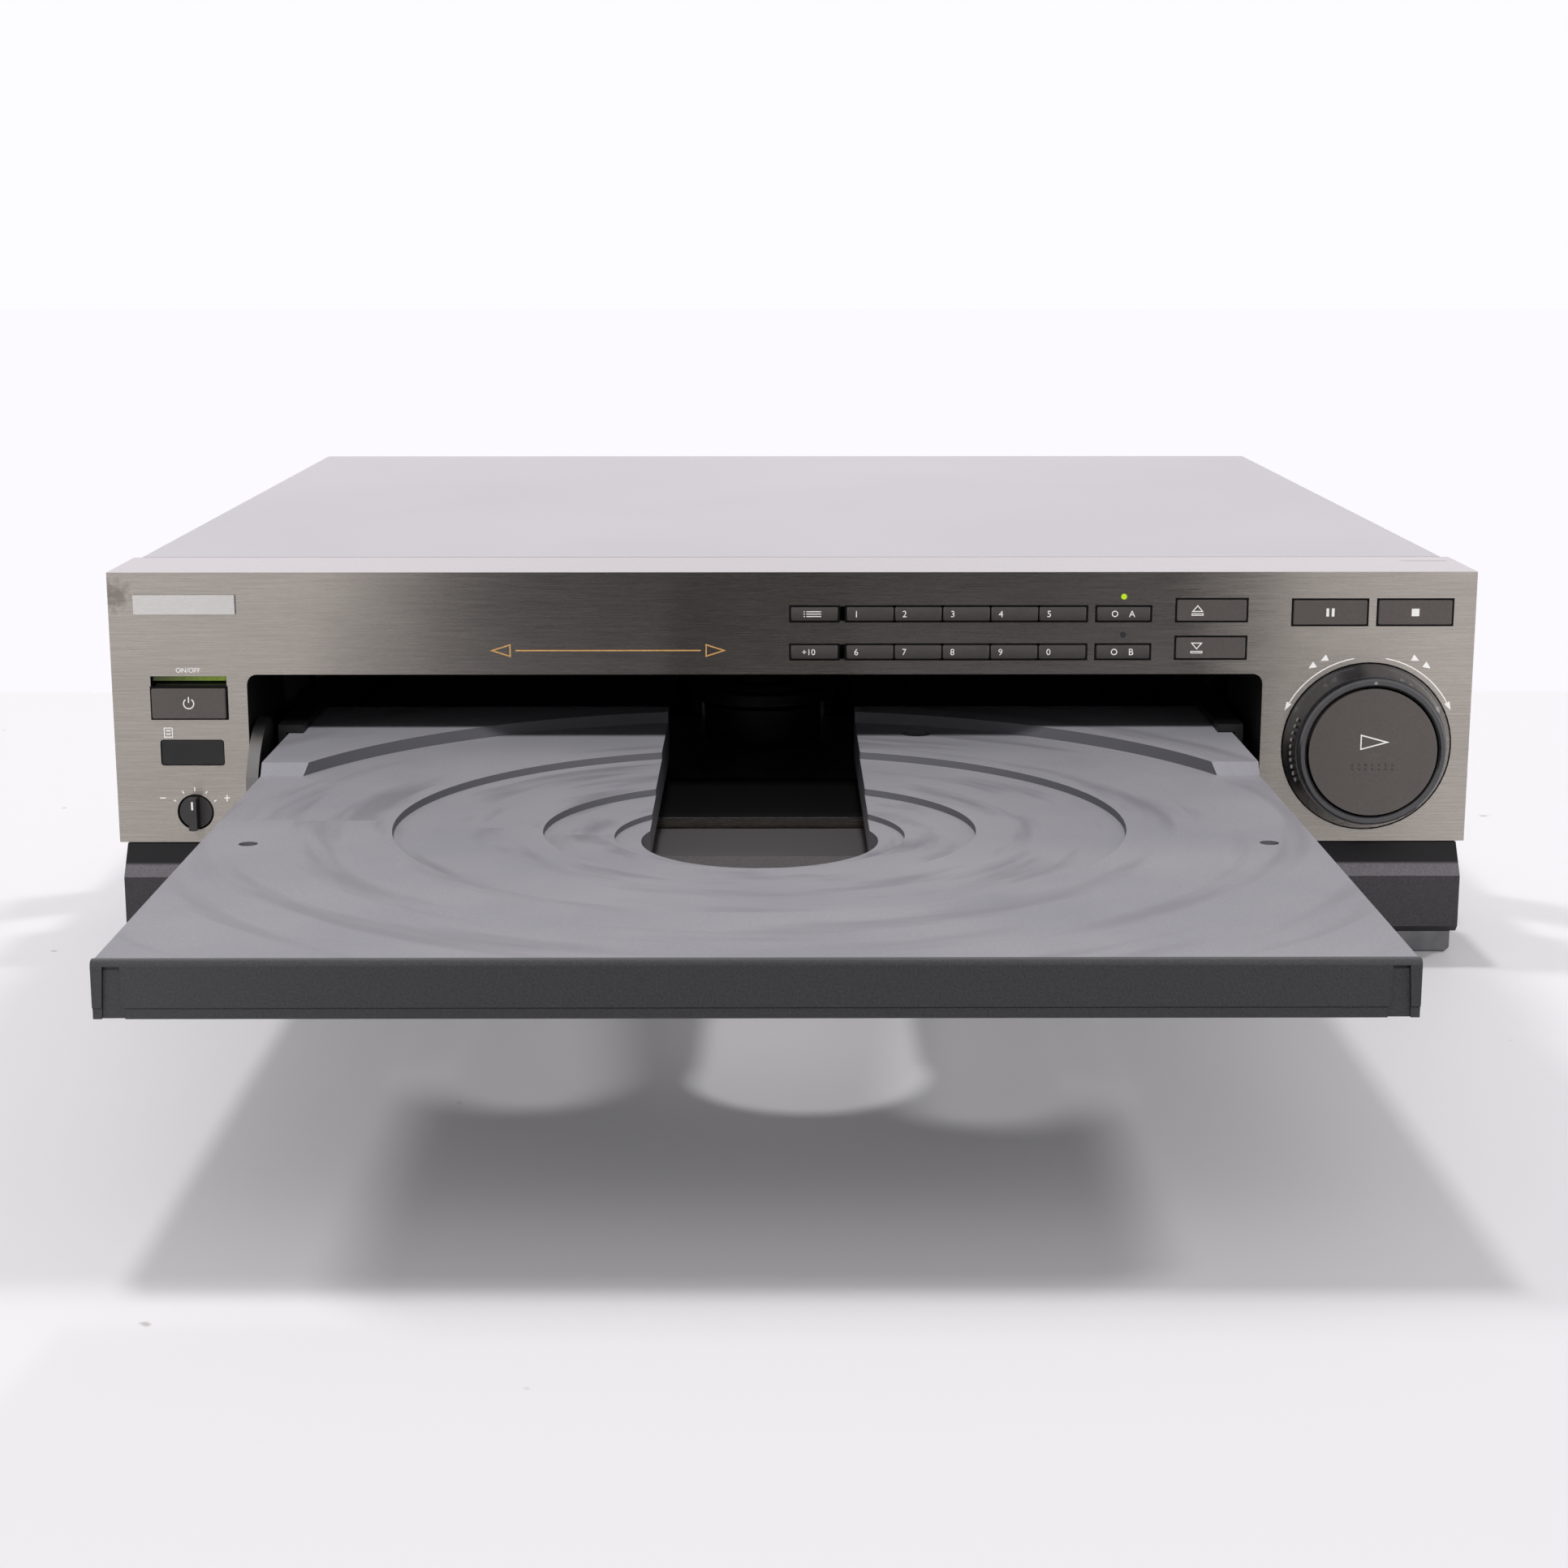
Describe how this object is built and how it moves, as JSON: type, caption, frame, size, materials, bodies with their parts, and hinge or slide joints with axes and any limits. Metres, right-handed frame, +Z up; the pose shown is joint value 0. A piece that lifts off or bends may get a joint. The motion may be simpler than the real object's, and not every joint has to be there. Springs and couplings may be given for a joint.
{
  "type": "laserdisc player",
  "caption": "Hi-fi width laserdisc player with a brushed grey front, its disc tray slid out over an open flap, number keys, a shuttle ring round the play key and a blank badge",
  "frame": {"origin": "on the plane that the feet stand on, in the middle of the whole footprint, from the front edge of the tray as it stands out to the ends of the jacks at the rear", "axes": "+Z up, +Y from the front panel to the rear panel, +X to the right of a person who faces the front"},
  "size_m": [0.43, 0.6668, 0.122],
  "materials": {
    "brushed_aluminium": "horizontally brushed, titanium-grey anodised",
    "silver_metal": "polished blank plate",
    "black_moulding": "moulded black plastic",
    "key_plastic": "dark brown-grey moulded keys",
    "ring_plastic": "dark grey turned ring",
    "smoked_window": "smoked filter window",
    "lamp_plastic": "yellow-green light guide",
    "base_plastic": "grained dark brown-grey plastic",
    "rubber": "black rubber",
    "painted_steel": "fine textured grey paint",
    "black_steel": "black painted steel",
    "tray_plastic": "satin grey moulded plastic",
    "flap_plastic": "dark moulded back of the flap",
    "arm_metal": "satin grey moulded arm",
    "bright_steel": "plated steel",
    "white_nylon": "natural white acetal",
    "dark_nylon": "black acetal",
    "green_board": "solder mask on glass fibre board",
    "socket_plastic": "black socket mouldings",
    "transformer_steel": "varnished laminations"
  },
  "bodies": {
    "player_body": {"fascia": "brushed_aluminium", "front_frame": "black_moulding", "badge_plate": "silver_metal", "remote_window": "smoked_window", "power_light_bar": "lamp_plastic", "side_lamps": "lamp_plastic", "control_boards": "green_board", "base_pan": "base_plastic", "feet": "rubber", "top_cover": "painted_steel", "cover_screws": "black_steel", "rear_panel": "black_steel", "phono_jacks": "socket_plastic", "video_socket": "socket_plastic", "mains_inlet": "socket_plastic", "left_guide_rail": "black_moulding", "right_guide_rail": "black_moulding", "flap_hinge_pins": "bright_steel", "mechanism_plate": "bright_steel", "rubber_dampers": "rubber", "spindle_motor": "black_moulding", "pickup_rods": "bright_steel", "loading_motor": "bright_steel", "drive_belt": "rubber", "main_board": "green_board", "power_supply_board": "green_board", "transformer": "transformer_steel"},
    "disc_tray": {"tray": "tray_plastic", "tray_front": "tray_plastic", "tray_rack": "white_nylon"},
    "pinion": {"tray_pinion": "white_nylon"},
    "motor_rotor": {"motor_pulley": "white_nylon"},
    "front_flap": {"flap": "flap_plastic", "flap_arm": "arm_metal"},
    "jog_ring": {"shuttle_ring": "ring_plastic"},
    "jog_key": {"play_key": "key_plastic"},
    "dial_knob": {"picture_dial": "key_plastic"},
    "disc_table": {"turntable": "dark_nylon"},
    "clamp_lever": {"clamp_arm": "bright_steel"},
    "clamp_puck": {"disc_clamp": "dark_nylon"},
    "pickup": {"pickup_sled": "dark_nylon"},
    "key_1_body": {"key_1": "key_plastic"},
    "key_2_body": {"key_2": "key_plastic"},
    "key_3_body": {"key_3": "key_plastic"},
    "key_4_body": {"key_4": "key_plastic"},
    "key_5_body": {"key_5": "key_plastic"},
    "key_6_body": {"key_6": "key_plastic"},
    "key_7_body": {"key_7": "key_plastic"},
    "key_8_body": {"key_8": "key_plastic"},
    "key_9_body": {"key_9": "key_plastic"},
    "key_0_body": {"key_0": "key_plastic"},
    "program_key_body": {"program_key": "key_plastic"},
    "plus_ten_key_body": {"plus_ten_key": "key_plastic"},
    "side_a_key_body": {"side_a_key": "key_plastic"},
    "side_b_key_body": {"side_b_key": "key_plastic"},
    "open_key_body": {"open_key": "key_plastic"},
    "close_key_body": {"close_key": "key_plastic"},
    "pause_key_body": {"pause_key": "key_plastic"},
    "stop_key_body": {"stop_key": "key_plastic"},
    "power_key_body": {"power_key": "key_plastic"}
  },
  "joints": [
    {"name": "tray_slide", "type": "slide", "parent": "player_body", "child": "disc_tray", "axis": [0, 1, 0], "range_m": [0, 0.267]},
    {"name": "pinion_spin", "type": "hinge", "parent": "player_body", "child": "pinion", "pos_m": [-0.14313, -0.04715, 0.048], "axis": [0, 0, 1], "range_deg": [-1280, 5]},
    {"name": "motor_spin", "type": "hinge", "parent": "player_body", "child": "motor_rotor", "pos_m": [-0.09513, -0.04715, 0.044], "axis": [0, 0, 1], "range_deg": [-3455, 5]},
    {"name": "flap_hinge", "type": "hinge", "parent": "player_body", "child": "front_flap", "pos_m": [-0.0119, -0.08695, 0.0383], "axis": [-1, 0, 0], "range_deg": [0, 8]},
    {"name": "jog_ring_turn", "type": "hinge", "parent": "player_body", "child": "jog_ring", "pos_m": [0.1823, -0.09035, 0.0662], "axis": [0, 1, 0], "range_deg": [-50, 50], "stiffness_Nm_per_rad": 0.05},
    {"name": "play_press", "type": "slide", "parent": "player_body", "child": "jog_key", "axis": [0, 1, 0], "range_m": [0, 0.0008], "stiffness_N_per_m": 400},
    {"name": "dial_turn", "type": "hinge", "parent": "player_body", "child": "dial_knob", "pos_m": [-0.1904, -0.09035, 0.0452], "axis": [0, 1, 0], "range_deg": [-60, 60]},
    {"name": "disc_spin", "type": "hinge", "parent": "player_body", "child": "disc_table", "pos_m": [-0.0101, 0.07965, 0.055], "axis": [0, 0, 1], "continuous": true},
    {"name": "clamp_tilt", "type": "hinge", "parent": "player_body", "child": "clamp_lever", "pos_m": [-0.0101, 0.24965, 0.081], "axis": [1, 0, 0], "range_deg": [0, 2]},
    {"name": "clamp_spin", "type": "hinge", "parent": "clamp_lever", "child": "clamp_puck", "pos_m": [-0.0101, 0.07965, 0.08], "axis": [0, 0, 1], "continuous": true},
    {"name": "pickup_slide", "type": "slide", "parent": "player_body", "child": "pickup", "axis": [0, 1, 0], "range_m": [0, 0.08]},
    {"name": "key_1_press", "type": "slide", "parent": "player_body", "child": "key_1_body", "axis": [0, 1, 0], "range_m": [0, 0.0008], "stiffness_N_per_m": 400},
    {"name": "key_2_press", "type": "slide", "parent": "player_body", "child": "key_2_body", "axis": [0, 1, 0], "range_m": [0, 0.0008], "stiffness_N_per_m": 400},
    {"name": "key_3_press", "type": "slide", "parent": "player_body", "child": "key_3_body", "axis": [0, 1, 0], "range_m": [0, 0.0008], "stiffness_N_per_m": 400},
    {"name": "key_4_press", "type": "slide", "parent": "player_body", "child": "key_4_body", "axis": [0, 1, 0], "range_m": [0, 0.0008], "stiffness_N_per_m": 400},
    {"name": "key_5_press", "type": "slide", "parent": "player_body", "child": "key_5_body", "axis": [0, 1, 0], "range_m": [0, 0.0008], "stiffness_N_per_m": 400},
    {"name": "key_6_press", "type": "slide", "parent": "player_body", "child": "key_6_body", "axis": [0, 1, 0], "range_m": [0, 0.0008], "stiffness_N_per_m": 400},
    {"name": "key_7_press", "type": "slide", "parent": "player_body", "child": "key_7_body", "axis": [0, 1, 0], "range_m": [0, 0.0008], "stiffness_N_per_m": 400},
    {"name": "key_8_press", "type": "slide", "parent": "player_body", "child": "key_8_body", "axis": [0, 1, 0], "range_m": [0, 0.0008], "stiffness_N_per_m": 400},
    {"name": "key_9_press", "type": "slide", "parent": "player_body", "child": "key_9_body", "axis": [0, 1, 0], "range_m": [0, 0.0008], "stiffness_N_per_m": 400},
    {"name": "key_0_press", "type": "slide", "parent": "player_body", "child": "key_0_body", "axis": [0, 1, 0], "range_m": [0, 0.0008], "stiffness_N_per_m": 400},
    {"name": "program_key_press", "type": "slide", "parent": "player_body", "child": "program_key_body", "axis": [0, 1, 0], "range_m": [0, 0.0008], "stiffness_N_per_m": 400},
    {"name": "plus_ten_key_press", "type": "slide", "parent": "player_body", "child": "plus_ten_key_body", "axis": [0, 1, 0], "range_m": [0, 0.0008], "stiffness_N_per_m": 400},
    {"name": "side_a_key_press", "type": "slide", "parent": "player_body", "child": "side_a_key_body", "axis": [0, 1, 0], "range_m": [0, 0.0008], "stiffness_N_per_m": 400},
    {"name": "side_b_key_press", "type": "slide", "parent": "player_body", "child": "side_b_key_body", "axis": [0, 1, 0], "range_m": [0, 0.0008], "stiffness_N_per_m": 400},
    {"name": "open_key_press", "type": "slide", "parent": "player_body", "child": "open_key_body", "axis": [0, 1, 0], "range_m": [0, 0.0008], "stiffness_N_per_m": 400},
    {"name": "close_key_press", "type": "slide", "parent": "player_body", "child": "close_key_body", "axis": [0, 1, 0], "range_m": [0, 0.0008], "stiffness_N_per_m": 400},
    {"name": "pause_key_press", "type": "slide", "parent": "player_body", "child": "pause_key_body", "axis": [0, 1, 0], "range_m": [0, 0.0008], "stiffness_N_per_m": 400},
    {"name": "stop_key_press", "type": "slide", "parent": "player_body", "child": "stop_key_body", "axis": [0, 1, 0], "range_m": [0, 0.0008], "stiffness_N_per_m": 400},
    {"name": "power_key_press", "type": "slide", "parent": "player_body", "child": "power_key_body", "axis": [0, 1, 0], "range_m": [0, 0.0008], "stiffness_N_per_m": 400}
  ],
  "couplings": [
    {"joint": "pinion_spin", "follows": "tray_slide", "rad_per_m": -83.333},
    {"joint": "motor_spin", "follows": "tray_slide", "rad_per_m": -225.18}
  ]
}
